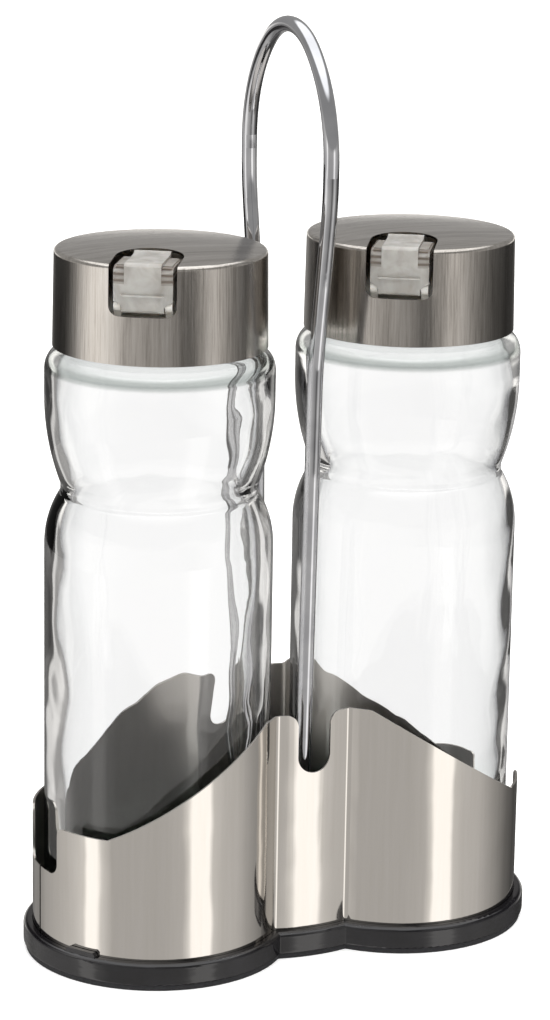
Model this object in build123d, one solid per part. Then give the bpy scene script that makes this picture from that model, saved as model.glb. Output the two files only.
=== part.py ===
from build123d import *
import math
import os

# Cruet set: a two-cup holder with a wire carrying loop, and two glass
# cruets with brushed steel caps that have a flip-out pouring spout.
#
# Frame: millimetres, +Z up, origin at the centre of the underside, +X along
# the row of cruets and -Y towards the front. Each cruet stands at
# X = -pitch / 2 (left) or X = +pitch / 2 (right).

# ---------------------------------------------------------------- bottle
bottle_radius = 29.2         # body and bulb, outside
cruet_gap = 10.8             # between the two bottles
pinch = 4.1                  # body's surface in to the finger grip's waist
bottle_wall = 3.6
bottle_floor = 6.0           # thick pressed bottom
heel_round = 2.4
body_height = 105.0          # foot to the end of the straight body
pinch_fall = 13.8            # body's end up to the waist
waist_band = 2.2             # height of the narrowest band
waist_round = 2.0
bulb_rise = 22.5             # waist up to the widest part of the bulb
bulb_band = 7.0              # height of the widest part
shoulder_rise = 5.6
neck_set_in = 5.0            # bulb's surface in to the neck
neck_wall = 4.2
foot_hollow = 1.2            # depth of the hollow under the foot
neck_rim_round = 0.8

# ------------------------------------------------------------------- cap
cap_gap = 0.5                # open joint between shoulder and cap edge
cap_height = 24.6            # open edge to rim
cap_taper = 0.4              # radius lost from the open edge up to the rim
cap_crown = 1.4              # rise of the domed top over the rim
cap_wall = 0.6
cap_rim_round = 1.1
spout_turn = -32.0           # direction the spouts face, from -Y towards +X

window_width = 17.0
window_drop = 12.5           # rim down to the window's lower edge
window_depth = 10.6          # rim in to where the window's end turns round
window_corner = 2.6
window_sill = 0.3             # window's lower edge over the liner plate

# ----------------------------------------------------------------- liner
liner_plate = 1.6
liner_skirt_clearance = 0.35  # to the neck
liner_skirt_wall = 2.05
liner_skirt_lift = 1.2        # skirt end above the cap's open edge
rim_clearance = 0.1           # neck rim to the liner plate
plug_length = 8.0
plug_wall = 2.2
plug_clearance = 0.6          # plug to the neck bore
seal_clearance = 0.1          # seal ring to the neck bore
seal_height = 3.0
seal_grip = 0.5               # depth of the ring's groove in the plug
seal_drop = 3.0               # liner plate down to the ring
air_hole_radius = 1.2
pour_hole_radius = 2.6
pour_hole_inset = 13.0        # cap's surface in to the hole
gasket_wall = 0.9
gasket_lip = 0.25             # stands above the liner plate

# ------------------------------------------------- spout and its hinge pin
spout_side_clearance = 1.1    # to the window's edges
spout_front_recess = 0.7      # front face inside the cap's surface
spout_skin = 1.5
spout_foot_clearance = 0.7    # over the window's lower edge
spout_foot_round = 1.6
ledge_height = 9.3            # window's lower edge up to the ledge
ledge_step = 0.6
grip_drop = 1.8               # grips below the cap's dome
spout_reach = 14.2            # front face in to the grips' inner end
grip_rib_radius = 0.35
grip_rib_count = 9
grip_width = 2.8              # ribbed strip on each side of the tongue
tongue_rise = 1.0             # above the grips
tongue_round = 1.7
tongue_overhang = 1.0         # tongue end past the grips
tongue_lip = 0.7              # upturned finger lip
ridge_height = 5.0            # window's lower edge up to the cross ridge
ridge_size = 0.4
peg_radius = 2.0
peg_clearance = 0.15          # closed peg over the gasket

pin_radius = 0.75
pin_running_clearance = 0.05
pin_inset = 3.1               # cap's surface in to the pin's axis
pin_height = 2.4              # over the window's lower edge
ear_radius = 1.5
ear_front = 0.3               # ear's post in front of the pin's axis
ear_width = 1.8
ear_side_inset = 0.1          # ear's outer face inside the spout's side
ear_clearance = 0.2
ear_swing_clearance = 0.3

# ---------------------------------------------------------------- holder
mat_thickness = 1.4
mat_inset = 0.6
tray_floor = 2.2              # under the bottles, above the mat
tray_lip_height = 7.2         # over the surface the set stands on
tray_lip_overhang = 2.4       # outside the sleeve
tray_lip_round = 1.3
tray_foot_round = 0.5
curb_height = 4.0             # above the lip
curb_wall = 1.7
bottle_clearance = 0.6        # bottle to the curb
sheet = 0.6                   # sleeve's steel
sheet_clearance = 0.12
sleeve_groove = 2.0
crease_radius = 1.6
web_set_back = 9.82           # front of a cup back to the centre strip
web_reach = 20.6              # axis of a cruet in to where the strip is drawn from
web_bulge_radius = 40.0
tab_width = 9.0
tab_height = 1.2
tab_thickness = 1.1
tab_angle = 57.0              # from the front or back towards the ends

sleeve_peak = 65.5            # over the surface the set stands on
sleeve_low = 38.6
peak_half_width = 14.8
peak_corner = 2.0
low_reach = 22.4              # axis of a cruet out to the end of the slope
slot_width = 9.0
slot_bottom = 49.6
slot_shoulder = 3.2
end_notch_width = 17.8
end_notch_bottom = 25.5
end_notch_corner = 3.0
end_notch_lead = 2.2          # rounded upper corners
seam_gap = 0.9

# ---------------------------------------------------------------- handle
wire_radius = 2.0
handle_rise = 55.1            # over the caps
arch_rise = 33.3              # top of the handle down to the arch's springing
arch_shoulder = 5.4           # arch's half width less its top radius
flare_drop = 43.3             # top of the handle down to the flare's ends
flare_length = 43.0
flare_spread = 7.1            # lower ends of the flare out to the arch
leg_lean = 3.7                # feet out to the lower ends of the flare
foot_inset = 7.8              # front of the centre strip in to the wire
foot_straight = 28.5          # wire's end up to where the legs lean out
handle_bend = 80.0
boss_wall = 2.6               # round the wire
boss_height = 6.0             # above the tray's web
wire_hole_clearance = 0.1
nut_wall = 1.5                # wire out to a flat
nut_height = 2.2
nut_clearance = 0.3
washer_wall = 2.2             # wire out to the rim
washer_thickness = 0.6
wire_end_proud = 0.4          # past the nut

# ------------------------------------------------------- worked-out sizes
pitch = 2 * bottle_radius + cruet_gap
waist_radius = bottle_radius - pinch
neck_radius = bottle_radius - neck_set_in
neck_bore_radius = neck_radius - neck_wall
cap_radius = neck_radius + liner_skirt_clearance + liner_skirt_wall + cap_wall
cap_top_radius = cap_radius - cap_taper
well_radius = bottle_radius + bottle_clearance
sleeve_radius = well_radius + curb_wall + sheet_clearance + sheet
curb_inset = sheet + sheet_clearance
web_half_depth = sleeve_radius - web_set_back
web_half_width = pitch / 2 - web_reach
foot_half_width = web_half_depth - foot_inset
flare_bottom_half_width = foot_half_width + leg_lean
arch_half_width = flare_bottom_half_width + flare_spread
arch_top_radius = arch_half_width - arch_shoulder
low_half_width = pitch / 2 + low_reach

floor_z = mat_thickness + tray_floor
lip_z = tray_lip_height
curb_z = lip_z + curb_height
groove_z = lip_z - sleeve_groove
body_z = floor_z + body_height
waist_z = body_z + pinch_fall
waist_top_z = waist_z + waist_band
bulb_z = waist_top_z + bulb_rise
shoulder_z = bulb_z + bulb_band
shoulder_top_z = shoulder_z + shoulder_rise
cap_z = shoulder_top_z + cap_gap
rim_z = cap_z + cap_height
window_z = rim_z - window_drop
plate_z = window_z - window_sill
liner_z = plate_z - liner_plate
neck_z = liner_z - rim_clearance
handle_top = rim_z + cap_crown + handle_rise
arch_spring = handle_top - arch_rise
flare_top = handle_top - flare_drop
flare_bottom = flare_top - flare_length

plug_radius = neck_bore_radius - plug_clearance
seal_radius = neck_bore_radius - seal_clearance
pour_hole_offset = cap_top_radius - pour_hole_inset
spout_width = window_width - 2 * spout_side_clearance
spout_block_width = spout_width - 2 * (ear_side_inset + ear_width + ear_clearance)
tongue_width = spout_width - 2 * grip_width
pin_u = cap_top_radius - pin_inset
pin_z = window_z + pin_height
spout_front = cap_top_radius - spout_front_recess
grip_z = rim_z + cap_crown - grip_drop
ledge_z = window_z + ledge_height
boss_radius = wire_radius + boss_wall
washer_radius = wire_radius + washer_wall

sides = {"left": -pitch / 2, "right": pitch / 2}


def spout_place(side_x):
    """Local frame of a spout: X out of the cap's window, Y across it."""
    return Location((side_x, 0, 0), (0, 0, spout_turn - 90))


def cylinder(radius, low, high, x=0.0, y=0.0):
    """Upright cylinder between two heights."""
    return Pos(x, y, (low + high) / 2) * Cylinder(radius, high - low)


def block(x, y, z):
    """Box from three (low, high) pairs."""
    middle = [sum(pair) / 2 for pair in (x, y, z)]
    return Pos(*middle) * Box(x[1] - x[0], y[1] - y[0], z[1] - z[0])


def crosswise(radius, length, u, z, v=0.0):
    """Cylinder lying across the spout, along the hinge's direction."""
    return Pos(u, v, z) * Rot(90, 0, 0) * Cylinder(radius, length)


def side_prism(outline, half_width):
    """Prism of an outline drawn in the X-Z plane, equally to both sides."""
    return extrude(make_face(Plane.XZ * outline), amount=half_width, both=True)


# ---------------------------------------------------------------- bottle
def bottle_side(inset, low, floor_round, top, end_radius):
    """Half section of the bottle, moved in from the outside by inset."""
    wide = bottle_radius - inset
    waist = waist_radius - inset

    def bulge(z_wide, z_narrow):
        """Point halfway along an arc that is upright at its wide end."""
        drop = wide - waist
        run = abs(z_narrow - z_wide)
        radius = (drop ** 2 + run ** 2) / (2 * drop)
        half = math.asin(run / radius) / 2
        way = math.copysign(1, z_narrow - z_wide)
        return (wide - radius * (1 - math.cos(half)), z_wide + way * radius * math.sin(half))

    edges = Line((0, low), (wide - floor_round, low))
    edges += RadiusArc((wide - floor_round, low), (wide, low + floor_round), -floor_round)
    edges += Line((wide, low + floor_round), (wide, body_z))
    edges += ThreePointArc((wide, body_z), bulge(body_z, waist_z), (waist, waist_z))
    edges += Line((waist, waist_z), (waist, waist_top_z))
    edges += ThreePointArc((waist, waist_top_z), bulge(bulb_z, waist_top_z), (wide, bulb_z))
    edges += Line((wide, bulb_z), (wide, shoulder_z))
    run = wide - end_radius
    end_z = shoulder_top_z - inset / 2
    rise = end_z - shoulder_z
    middle = (end_radius + run * math.sqrt(0.5), shoulder_z + rise * math.sqrt(0.5))
    edges += Spline(
        (wide, shoulder_z),
        middle,
        (end_radius, end_z),
        tangents=[(0, 1), (-1, 0)],
    )
    edges += Polyline((end_radius, end_z), (end_radius, top), (0, top), (0, low))
    return make_face(Plane.XZ * edges)


def waist_edges(solid, radius):
    """The two circles that bound the narrowest band."""
    circles = solid.edges().filter_by(GeomType.CIRCLE)
    near = circles.filter_by_position(Axis.Z, waist_z - 0.1, waist_top_z + 0.1)
    return [edge for edge in near if abs(edge.radius - radius) < 0.01]


def bottle(side_x):
    """Pressed glass bottle with a pinched waist and a wide neck."""
    outside = revolve(bottle_side(0, floor_z, heel_round, neck_z, neck_radius), Axis.Z)
    outside = fillet(waist_edges(outside, waist_radius), waist_round)
    inner_floor = floor_z + bottle_floor
    hollow_shape = bottle_side(
        bottle_wall, inner_floor, 2 * heel_round, neck_z + 1, neck_bore_radius
    )
    hollow = revolve(hollow_shape, Axis.Z)
    hollow = fillet(waist_edges(hollow, waist_radius - bottle_wall), waist_round)
    foot = cylinder(bottle_radius - 2 * heel_round, floor_z - 1, floor_z + foot_hollow)
    foot = fillet(foot.edges().group_by(Axis.Z)[-1], foot_hollow / 2)
    glass = outside - hollow - foot
    rim = glass.edges().filter_by(GeomType.CIRCLE).group_by(Axis.Z)[-1]
    return Pos(side_x, 0, 0) * fillet(rim, neck_rim_round)


# ------------------------------------------------------------------- cap
def cap_radius_at(z):
    """Outside radius of the tapered cap wall."""
    share = (z - cap_z) / cap_height
    return cap_radius + (cap_top_radius - cap_radius) * share


def cap_body(inset, low):
    """Solid of revolution under the cap's surface, moved in by inset."""
    edge = cap_radius_at(low) - inset
    rim = cap_top_radius - inset
    top = rim_z + cap_crown - inset
    outline = Line((0, low), (edge, low))
    outline += Line((edge, low), (rim, rim_z - inset))
    half = rim / 2
    crown_radius = (rim ** 2 + cap_crown ** 2) / (2 * cap_crown)
    half_z = top - crown_radius + math.sqrt(crown_radius ** 2 - half ** 2)
    outline += ThreePointArc((rim, rim_z - inset), (half, half_z), (0, top))
    outline += Line((0, top), (0, low))
    solid = revolve(make_face(Plane.XZ * outline), Axis.Z)
    circles = solid.edges().filter_by(GeomType.CIRCLE)
    corner = circles.filter_by_position(Axis.Z, rim_z - inset - 0.1, rim_z - inset + 0.1)
    return fillet(corner, cap_rim_round - inset / 2)


def window_cutter():
    """What the spout window takes out of the cap, in the spout's frame."""
    turn_u = cap_top_radius - window_depth
    half = window_width / 2
    high = rim_z + cap_crown + 5
    front = block((turn_u, cap_radius + 5), (-half, half), (window_z, high))
    front = fillet(front.edges().filter_by(Axis.X).group_by(Axis.Z)[0], window_corner)
    return front + cylinder(half, rim_z - 3, high, x=turn_u)


def cap_shell(side_x):
    """Drawn steel cap shell with its spout window."""
    shell = cap_body(0, cap_z) - cap_body(cap_wall, cap_z)
    return spout_place(side_x) * (shell - window_cutter())


def cap_liner(side_x):
    """Moulded inner cap: skirt, sealing plug and the spout's hinge ears."""
    skirt_z = cap_z + liner_skirt_lift
    liner = cylinder(cap_radius, skirt_z, plate_z)
    liner -= cylinder(neck_radius + liner_skirt_clearance, skirt_z - 1, liner_z)
    liner += cylinder(plug_radius, liner_z - plug_length, liner_z)
    liner -= cylinder(plug_radius - plug_wall, liner_z - plug_length - 1, liner_z)
    seal_top = liner_z - seal_drop
    groove = cylinder(plug_radius + 1, seal_top - seal_height, seal_top)
    groove -= cylinder(plug_radius - seal_grip, seal_top - seal_height, seal_top)
    liner -= groove
    liner -= cylinder(pour_hole_radius, liner_z - 1, plate_z + 1, x=pour_hole_offset)
    liner -= cylinder(air_hole_radius, liner_z - 1, plate_z + 1, x=-pour_hole_offset)
    for way in (-1, 1):
        inner = way * (spout_block_width / 2 + ear_clearance)
        outer = inner + way * ear_width
        across = (min(inner, outer), max(inner, outer))
        ear = block((pin_u - ear_radius, pin_u + ear_front), across, (liner_z, pin_z))
        ear += crosswise(ear_radius, ear_width, pin_u, pin_z, v=(inner + outer) / 2)
        liner += ear
    liner -= crosswise(pin_radius, 2 * cap_radius, pin_u, pin_z)
    return spout_place(side_x) * (liner & cap_body(cap_wall, cap_z))


def seal_ring(side_x):
    """Soft ring round the plug that grips the neck's bore."""
    top = liner_z - seal_drop
    ring = cylinder(seal_radius, top - seal_height, top)
    ring = fillet(ring.edges(), seal_height / 4)
    return Pos(side_x, 0, 0) * (ring - cylinder(plug_radius - seal_grip, top - seal_height, top))


def spout_gasket(side_x):
    """Soft bush in the pour hole, closed by the spout's peg."""
    bush = cylinder(pour_hole_radius, liner_z, plate_z + gasket_lip, x=pour_hole_offset)
    bush -= cylinder(pour_hole_radius - gasket_wall, liner_z - 1, plate_z + 1, x=pour_hole_offset)
    return spout_place(side_x) * bush


def spout_pin(side_x):
    """Hinge pin, pressed into the ears of the inner cap."""
    length = spout_block_width + 2 * (ear_clearance + ear_width)
    return spout_place(side_x) * crosswise(pin_radius, length, pin_u, pin_z)


def spout_cheeks():
    """Front plate, ribbed grips and side cheeks as one outer form."""
    foot_z = window_z + spout_foot_clearance
    step_u = spout_front - ledge_step
    bend = grip_z - ledge_z
    inner_u = spout_front - spout_reach
    heel_u = pin_u - ear_radius - ear_swing_clearance
    outline = Line((heel_u, foot_z), (spout_front - spout_foot_round, foot_z))
    outline += RadiusArc(
        (spout_front - spout_foot_round, foot_z),
        (spout_front, foot_z + spout_foot_round),
        -spout_foot_round,
    )
    outline += Polyline(
        (spout_front, foot_z + spout_foot_round),
        (spout_front, ledge_z),
        (step_u, ledge_z),
    )
    outline += RadiusArc((step_u, ledge_z), (step_u - bend, grip_z), -bend)
    outline += Polyline(
        (step_u - bend, grip_z),
        (inner_u, grip_z),
        (inner_u, grip_z - 1.4 * spout_skin),
        (heel_u, foot_z),
    )
    return side_prism(outline, spout_width / 2)


def spout_cavity():
    """Hollow behind the front plate, between the cheeks."""
    low = window_z - 1
    heel_u = pin_u - ear_radius - ear_swing_clearance
    block_z = pin_z + ear_radius + spout_skin / 2
    front_u = spout_front - 1.4 * spout_skin
    roof_u = spout_front - ledge_step - (grip_z - ledge_z)
    inner_u = spout_front - spout_reach
    outline = Polyline(
        (inner_u - 1, low),
        (heel_u, low),
        (heel_u, block_z),
        (front_u, block_z),
        (front_u, ledge_z - spout_skin / 2),
        (roof_u, grip_z - spout_skin),
        (inner_u - 1, grip_z - spout_skin),
        (inner_u - 1, low),
    )
    return side_prism(outline, spout_width / 2 - spout_skin)


def spout_tongue():
    """Raised centre tongue with an upturned finger lip."""
    top = grip_z + tongue_rise
    inner_u = spout_front - spout_reach
    end_u = inner_u - tongue_overhang
    corner_u = spout_front - tongue_round
    outline = Line((spout_front, ledge_z), (spout_front, top - tongue_round))
    outline += RadiusArc((spout_front, top - tongue_round), (corner_u, top), -tongue_round)
    outline += Polyline(
        (corner_u, top),
        (inner_u + 2 * tongue_lip, top),
        (end_u + tongue_lip / 2, top + tongue_lip),
        (end_u, top + tongue_lip / 2),
        (inner_u, grip_z - spout_skin / 2),
        (spout_front - ledge_step - (grip_z - ledge_z), grip_z - spout_skin / 2),
        (spout_front - spout_skin, ledge_z - spout_skin / 3),
        (spout_front, ledge_z),
    )
    return side_prism(outline, tongue_width / 2)


def grip_ribs():
    """Fine ribs across the grips, round the bend and along the top."""
    bend = grip_z - ledge_z
    bend_u = spout_front - ledge_step - bend
    inner_u = spout_front - spout_reach
    arc = bend * math.pi / 2
    flat = bend_u - inner_u
    step = (arc + flat) / (grip_rib_count + 1)
    ribs = []
    for index in range(1, grip_rib_count + 1):
        way = index * step
        if way < arc:
            turn = way / bend
            place = (bend_u + bend * math.cos(turn), ledge_z + bend * math.sin(turn))
        else:
            place = (bend_u - (way - arc), grip_z)
        ribs.append(crosswise(grip_rib_radius, spout_width - 2 * spout_skin / 3, *place))
    return ribs


def flip_spout(side_x):
    """Milky pouring spout that tips out of the window on its hinge pin."""
    spout = spout_cheeks() - spout_cavity()
    for rib in grip_ribs():
        spout += rib
    spout += spout_tongue()
    peg_low = plate_z + gasket_lip + peg_clearance
    spout += cylinder(peg_radius, peg_low, grip_z - spout_skin / 2, x=pour_hole_offset)
    spout &= cylinder(spout_front, window_z - 1, rim_z + cap_crown + 5)
    ridge_z = window_z + ridge_height
    half_ridge = spout_block_width / 2
    spout += block(
        (spout_front - 1, spout_front + ridge_size),
        (-half_ridge, half_ridge),
        (ridge_z, ridge_z + ridge_size),
    )
    swing = ear_radius + ear_swing_clearance
    for way in (-1, 1):
        inner = way * spout_block_width / 2
        outer = way * (spout_width / 2 + 1)
        across = (min(inner, outer), max(inner, outer))
        spout -= block((pin_u - swing, cap_radius), across, (window_z, pin_z))
        spout -= crosswise(swing, abs(outer - inner), pin_u, pin_z, v=(inner + outer) / 2)
    spout -= crosswise(pin_radius + pin_running_clearance, 2 * cap_radius, pin_u, pin_z)
    return spout_place(side_x) * spout


# ---------------------------------------------------------------- holder
def plan(offset):
    """Top view of the sleeve's outside, moved out by offset."""
    lobes = Sketch() + [Pos(x, 0) * Circle(sleeve_radius + offset) for x in sides.values()]
    centre = web_bulge_radius - web_half_depth
    web = Rectangle(2 * web_half_width, 4 * web_half_depth)
    for way in (-1, 1):
        web &= Pos(0, way * centre) * Circle(web_bulge_radius + offset)
    shape = lobes + web
    corners = shape.vertices().filter_by_position(Axis.X, -web_half_width, web_half_width)
    creases = [v for v in corners if abs(v.Y) > web_half_depth / 2]
    return fillet(creases, max(crease_radius - offset, crease_radius / 4))


def upright(shape, low, high):
    """Straight extrusion of a plan shape between two heights."""
    return extrude(Pos(0, 0, low) * shape, amount=high - low)


def base_mat():
    """Soft mat stuck under the tray; the set stands on it."""
    return upright(plan(tray_lip_overhang - mat_inset), 0, mat_thickness)


def base_tray():
    """Moulded tray: lip, sleeve groove, locating curb, wells and bosses."""
    tray = upright(plan(tray_lip_overhang), mat_thickness, lip_z)
    tray = fillet(tray.edges().group_by(Axis.Z)[-1], tray_lip_round)
    tray = fillet(tray.edges().group_by(Axis.Z)[0], tray_foot_round)
    tray += upright(plan(-curb_inset) - plan(-curb_inset - curb_wall), lip_z - 1, curb_z)
    tray -= upright(plan(sheet_clearance) - plan(-curb_inset), groove_z, curb_z + 1)
    for x in sides.values():
        tray -= cylinder(well_radius, floor_z, curb_z + 1, x=x)
    pocket_top = nut_seat_z()
    pocket_radius = washer_radius + nut_clearance
    for way in (-1, 1):
        y = way * foot_half_width
        tray += cylinder(boss_radius, lip_z - 1, lip_z + boss_height, y=y)
        tray -= cylinder(wire_radius + wire_hole_clearance, 0, lip_z + boss_height + 1, y=y)
        tray -= cylinder(pocket_radius, 0, pocket_top, y=y)
    for tab in clip_tabs():
        tray += tab
    return tray


def clip_tabs():
    """Tab at the front of the left cup and its twin behind the right one."""
    inner = sleeve_radius + 2 * sheet_clearance
    tab = block(
        (inner - 1, inner + tab_thickness),
        (-tab_width / 2, tab_width / 2),
        (lip_z - 1, lip_z + tab_height),
    )
    tab = chamfer(tab.edges().group_by(Axis.Z)[-1].filter_by(Axis.X), tab_height / 2)
    tab -= cylinder(inner, 0, lip_z + tab_height + 1)
    turns = {"left": 180 + (90 - tab_angle), "right": 90 - tab_angle}
    return [Location((sides[side], 0, 0), (0, 0, turn)) * tab for side, turn in turns.items()]


def sleeve_elevation():
    """Front view of the sleeve: sloping shoulders and the centre slot."""
    half_slot = slot_width / 2
    reach = pitch / 2 + sleeve_radius + 1
    slot_turn = slot_bottom + half_slot
    outline = Line((half_slot, sleeve_peak), (half_slot, slot_turn))
    outline += RadiusArc((half_slot, slot_turn), (-half_slot, slot_turn), half_slot)
    outline += Polyline(
        (-half_slot, slot_turn),
        (-half_slot, sleeve_peak),
        (-peak_half_width, sleeve_peak),
        (-low_half_width, sleeve_low),
        (-reach, sleeve_low),
        (-reach, groove_z),
        (reach, groove_z),
        (reach, sleeve_low),
        (low_half_width, sleeve_low),
        (peak_half_width, sleeve_peak),
        (half_slot, sleeve_peak),
    )
    face = make_face(outline)
    tops = face.vertices().group_by(Axis.Y)[-1]
    face = fillet([v for v in tops if abs(v.X) < half_slot + 0.1], slot_shoulder)
    tops = face.vertices().group_by(Axis.Y)[-1]
    face = fillet([v for v in tops if abs(v.X) > peak_half_width - 0.1], peak_corner)
    return face


def end_notch():
    """Front-to-back outline of the notch at each end of the sleeve."""
    high = sleeve_peak + 1
    slot_height = high - end_notch_bottom
    slot = Pos(0, (end_notch_bottom + high) / 2) * Rectangle(end_notch_width, slot_height)
    slot = fillet(slot.vertices().group_by(Axis.Y)[0], end_notch_corner)
    wide = Pos(0, (sleeve_low + high) / 2) * Rectangle(
        end_notch_width + 4 * end_notch_lead, high - sleeve_low
    )
    shape = slot + wide
    level = shape.vertices().filter_by_position(Axis.Y, sleeve_low - 0.01, sleeve_low + 0.01)
    mouths = [v for v in level if abs(v.X) < end_notch_width / 2 + 0.1]
    return fillet(mouths, end_notch_lead)


def sleeve(way):
    """Bent sheet steel half shell; way is -1 for the front, 1 for the rear."""
    shell = upright(plan(0) - plan(-sheet), groove_z, sleeve_peak + 1)
    depth = sleeve_radius + 5
    shell &= extrude(Plane.XZ * sleeve_elevation(), amount=depth, both=True)
    ends = Plane.YZ * end_notch()
    reach = pitch / 2 + sleeve_radius
    notch = extrude(ends, amount=reach + 5, both=True)
    notch -= block((-reach + 12, reach - 12), (-depth, depth), (0, sleeve_peak + 5))
    shell -= notch
    half = block((-reach - 1, reach + 1), (seam_gap / 2, depth), (0, sleeve_peak + 5))
    if way < 0:
        half = mirror(half, Plane.XZ)
    return shell & half


# ---------------------------------------------------------------- handle
def nut_seat_z():
    """Underside of the tray's web inside the nut pockets."""
    return wire_end_z() + wire_end_proud + nut_height + washer_thickness


def wire_end_z():
    """Lower ends of the handle wire, just above the mat."""
    return mat_thickness + wire_hole_clearance


def handle_loop():
    """Chromed wire: straight feet, flared legs and a two-radius arch."""
    rise = handle_top - wire_radius - arch_spring
    a = arch_half_width
    top_r = arch_top_radius
    side_r = (2 * rise * top_r - a ** 2 - rise ** 2) / (2 * (top_r - a))
    centre_y = a - side_r
    top_centre = arch_spring + rise - top_r
    reach = math.hypot(centre_y, top_centre - arch_spring)
    tangent_y = -centre_y / reach * top_r
    tangent_z = top_centre + (top_centre - arch_spring) / reach * top_r

    def leg(way):
        """Half of the leg's centre line, from its foot to the arch."""
        return FilletPolyline(
            (way * foot_half_width, wire_end_z()),
            (way * foot_half_width, wire_end_z() + foot_straight),
            (way * flare_bottom_half_width, flare_bottom),
            (way * a, flare_top),
            (way * a, arch_spring),
            radius=handle_bend,
        )

    path = leg(-1)
    path += RadiusArc((-a, arch_spring), (-tangent_y, tangent_z), side_r)
    path += RadiusArc((-tangent_y, tangent_z), (tangent_y, tangent_z), top_r)
    path += RadiusArc((tangent_y, tangent_z), (a, arch_spring), side_r)
    path += leg(1)
    start = Plane((0, -foot_half_width, wire_end_z()), x_dir=(1, 0, 0), z_dir=(0, 0, 1))
    return sweep(start * Circle(wire_radius), path=Plane.YZ * path)


def handle_nuts():
    """The two nuts that hold the wire, seen only from below."""
    low = wire_end_z() + wire_end_proud
    nuts = []
    for way in (-1, 1):
        hexagon = RegularPolygon(wire_radius + nut_wall, 6, major_radius=False)
        hexagon -= Circle(wire_radius)
        nuts.append(extrude(Pos(0, way * foot_half_width, low) * hexagon, amount=nut_height))
    return Compound(children=nuts)


def handle_washers():
    """Washers between the nuts and the tray."""
    high = nut_seat_z()
    rings = []
    for way in (-1, 1):
        ring = cylinder(washer_radius, high - washer_thickness, high, y=way * foot_half_width)
        ring -= cylinder(wire_radius, 0, high + 1, y=way * foot_half_width)
        rings.append(ring)
    return Compound(children=rings)


# ----------------------------------------------------------------- parts
parts = {
    "base_mat": base_mat(),
    "base_tray": base_tray(),
    "sleeve_front": sleeve(-1),
    "sleeve_rear": sleeve(1),
    "handle_loop": handle_loop(),
    "handle_nuts": handle_nuts(),
    "handle_washers": handle_washers(),
}
for side, side_x in sides.items():
    parts[side + "_bottle"] = bottle(side_x)
    parts[side + "_cap_shell"] = cap_shell(side_x)
    parts[side + "_cap_liner"] = cap_liner(side_x)
    parts[side + "_seal_ring"] = seal_ring(side_x)
    parts[side + "_spout_gasket"] = spout_gasket(side_x)
    parts[side + "_spout_pin"] = spout_pin(side_x)
    parts[side + "_flip_spout"] = flip_spout(side_x)

os.makedirs("parts", exist_ok=True)
for name, solid in parts.items():
    export_step(solid, f"parts/{name}.step")
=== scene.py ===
import math

import bmesh
import bpy
from mathutils import Matrix, Vector, noise


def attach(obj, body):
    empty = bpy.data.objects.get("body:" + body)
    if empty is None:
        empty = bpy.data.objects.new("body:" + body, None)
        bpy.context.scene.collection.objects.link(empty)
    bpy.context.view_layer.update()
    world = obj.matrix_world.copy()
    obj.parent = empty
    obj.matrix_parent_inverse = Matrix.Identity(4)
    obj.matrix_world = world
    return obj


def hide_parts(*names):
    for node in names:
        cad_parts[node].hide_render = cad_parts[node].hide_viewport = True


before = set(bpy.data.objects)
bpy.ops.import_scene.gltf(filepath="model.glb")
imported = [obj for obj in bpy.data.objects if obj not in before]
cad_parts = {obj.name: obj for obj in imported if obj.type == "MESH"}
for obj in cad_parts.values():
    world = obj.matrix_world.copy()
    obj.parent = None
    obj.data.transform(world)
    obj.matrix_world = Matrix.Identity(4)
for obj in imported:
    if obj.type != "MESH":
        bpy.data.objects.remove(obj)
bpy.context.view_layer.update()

# Cruet set: two pressed glass bottles with brushed steel caps, standing in
# a polished steel holder with a chromed carrying loop. Metres, +Z up.
MM = 0.001

# ------------------------------------------------------------ real sizes
PITCH = 69.2 * MM
SIDES = {"left": -PITCH / 2, "right": PITCH / 2}
SPOUT_TURN = math.radians(-122)      # local X of a spout, from world +X

TONGUE_HALF_WIDTH = 4.6 * MM
GRIP_LOW = 180.2 * MM                # lowest of the grip ridges
GRIP_PITCH = 1.5 * MM
SHEET_EASE = 0.28 * MM
TRAY_EASE = 0.35 * MM
SPOUT_EASE = 0.15 * MM

FLOOR_Z = 3.6 * MM
BOTTLE_RADIUS = 29.2 * MM
WAIST_RADIUS = 25.1 * MM
NECK_RADIUS = 24.2 * MM
BORE_RADIUS = 20.0 * MM
BODY_TOP = 108.6 * MM
WAIST_LOW = 122.4 * MM
WAIST_HIGH = 124.6 * MM
BULB_LOW = 147.1 * MM
BULB_HIGH = 154.1 * MM
SHOULDER_TOP = 159.7 * MM
NECK_TOP = 170.3 * MM
GLASS_WALL = 3.6 * MM
GLASS_FLOOR = 6.0 * MM
HEEL_ROUND = 2.4 * MM
FOOT_HOLLOW = 1.2 * MM
RIM_ROUND = 0.8 * MM
HEAVY_SIDE = Vector((0.9, -0.43, 0))  # where the pressed walls came out uneven
HEAVY_WALL = {"left": 0.8 * MM, "right": -1.5 * MM}
SLOW_RIPPLE = 0.8 * MM
FINE_RIPPLE = 0.22 * MM
RIPPLE_SET_IN = 0.25 * MM
RIPPLE_LENGTH = 28 * MM
RIPPLE_SEEDS = {"left": 7.3, "right": 14.6}
SPIN_STEPS = 144


# ------------------------------------------------------ node helpers
def linear(code, alpha=1.0):
    """sRGB hex, such as "a8a4a0", as a linear RGBA tuple."""
    channels = [int(code[i:i + 2], 16) / 255 for i in (0, 2, 4)]
    curve = [c / 12.92 if c <= 0.04045 else ((c + 0.055) / 1.055) ** 2.4 for c in channels]
    return (*curve, alpha)


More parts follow.
